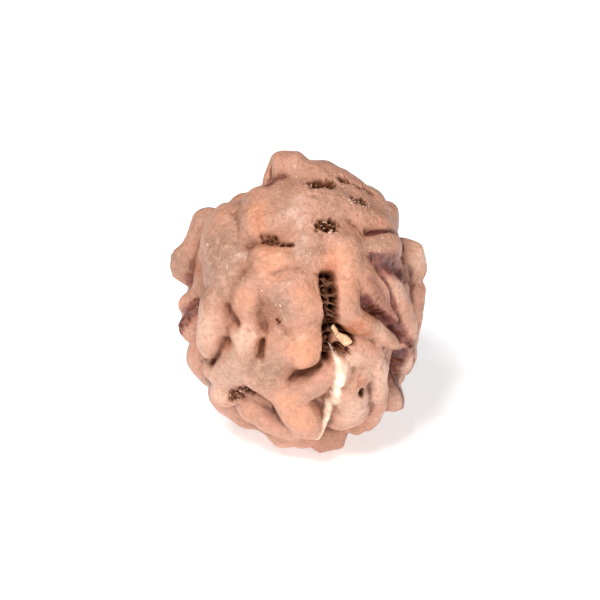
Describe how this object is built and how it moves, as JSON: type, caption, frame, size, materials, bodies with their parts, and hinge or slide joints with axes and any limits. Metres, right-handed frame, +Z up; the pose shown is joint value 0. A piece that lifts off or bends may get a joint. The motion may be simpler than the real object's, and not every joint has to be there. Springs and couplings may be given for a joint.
{
  "type": "rudraksha bead",
  "caption": "Natural woody fruit stone, egg shaped and deeply folded, with a dark cleft down its face, resting upright on a small flat spot.",
  "frame": {"origin": "centre of the bounding box's bottom, on the flat spot that the bead rests on", "axes": "+Z up through the crown, -Y towards the face with the cleft, +X to the right of the face"},
  "size_m": [0.0214, 0.0214, 0.0262],
  "materials": {
    "woody_stone": "hard warm brown wood with a slight waxy sheen, dusty beige film, purple brown creases and a dark fibrous cleft"
  },
  "bodies": {
    "root": {"rudraksha_bead": "woody_stone"}
  },
  "joints": []
}
